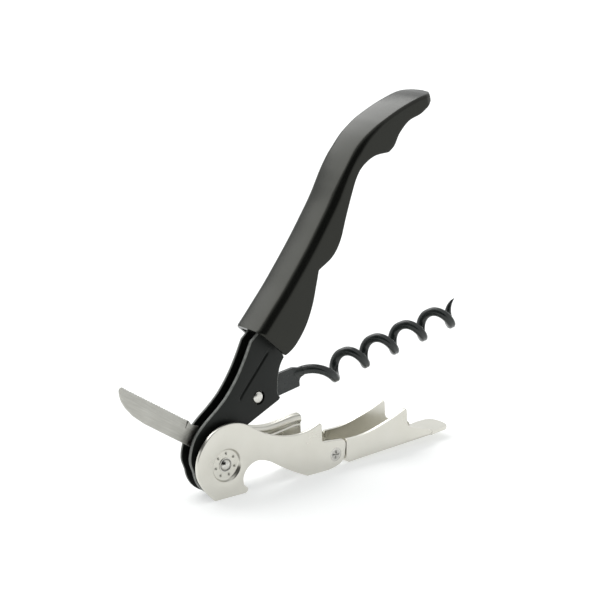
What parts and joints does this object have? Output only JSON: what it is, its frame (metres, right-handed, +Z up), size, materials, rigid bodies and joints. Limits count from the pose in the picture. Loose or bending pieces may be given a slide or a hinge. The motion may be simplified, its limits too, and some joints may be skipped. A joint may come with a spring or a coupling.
{
  "type": "lever corkscrew",
  "caption": "Folding hand corkscrew with a hinged two-step lever, coiled worm, foil blade and soft-touch grip, standing open on its lever.",
  "frame": {"origin": "middle of the flat rest face under the first lever stage's web", "axes": "+X along the lever from the main rivet to its tongue, +Y across the tool towards its right side, +Z up from the surface it stands on"},
  "size_m": [0.1128, 0.0116, 0.0975],
  "materials": {
    "nickel": "satin nickel-plated pressed steel",
    "rivet": "bright peened steel",
    "frame_black": "satin black coated steel",
    "worm_black": "semi-gloss non-stick black coating on steel wire",
    "blade": "ground and brushed stainless steel",
    "grip": "soft-touch matt black moulding"
  },
  "bodies": {
    "lever_base": {"lever_stage_one": "nickel", "main_rivet": "rivet", "hinge_rivet": "rivet", "lever_washer_left": "rivet", "lever_washer_right": "rivet"},
    "handle": {"grip_shell": "grip", "frame_plate_left": "frame_black", "frame_plate_right": "frame_black", "frame_spacer": "frame_black", "frame_rivet_lower": "rivet", "frame_rivet_upper": "rivet", "worm_pin": "rivet", "worm_washer_left": "rivet", "worm_washer_right": "rivet", "blade_pin": "rivet", "blade_washer_left": "rivet", "blade_washer_right": "rivet"},
    "worm_screw": {"worm": "worm_black"},
    "blade_leaf": {"foil_blade": "blade"},
    "lever_tip": {"lever_stage_two": "nickel"}
  },
  "joints": [
    {"name": "handle_fold", "type": "hinge", "parent": "lever_base", "child": "handle", "pos_m": [-0.0297, 0, 0.00875], "axis": [0, 1, 0], "range_deg": [-90, 52]},
    {"name": "worm_swing", "type": "hinge", "parent": "handle", "child": "worm_screw", "pos_m": [-0.0175, 0, 0.0237], "axis": [0, 1, 0], "range_deg": [-50.7, 87.7]},
    {"name": "blade_swing", "type": "hinge", "parent": "handle", "child": "blade_leaf", "pos_m": [-0.0322, 0, 0.014], "axis": [0, 1, 0], "range_deg": [-89, 91]},
    {"name": "lever_tip_swing", "type": "hinge", "parent": "lever_base", "child": "lever_tip", "pos_m": [0.0059, 0, 0.0039], "axis": [0, 1, 0], "range_deg": [0, 75]}
  ],
  "couplings": [
    {"joint": "worm_swing", "follows": "handle_fold", "ratio": -0.973}
  ]
}
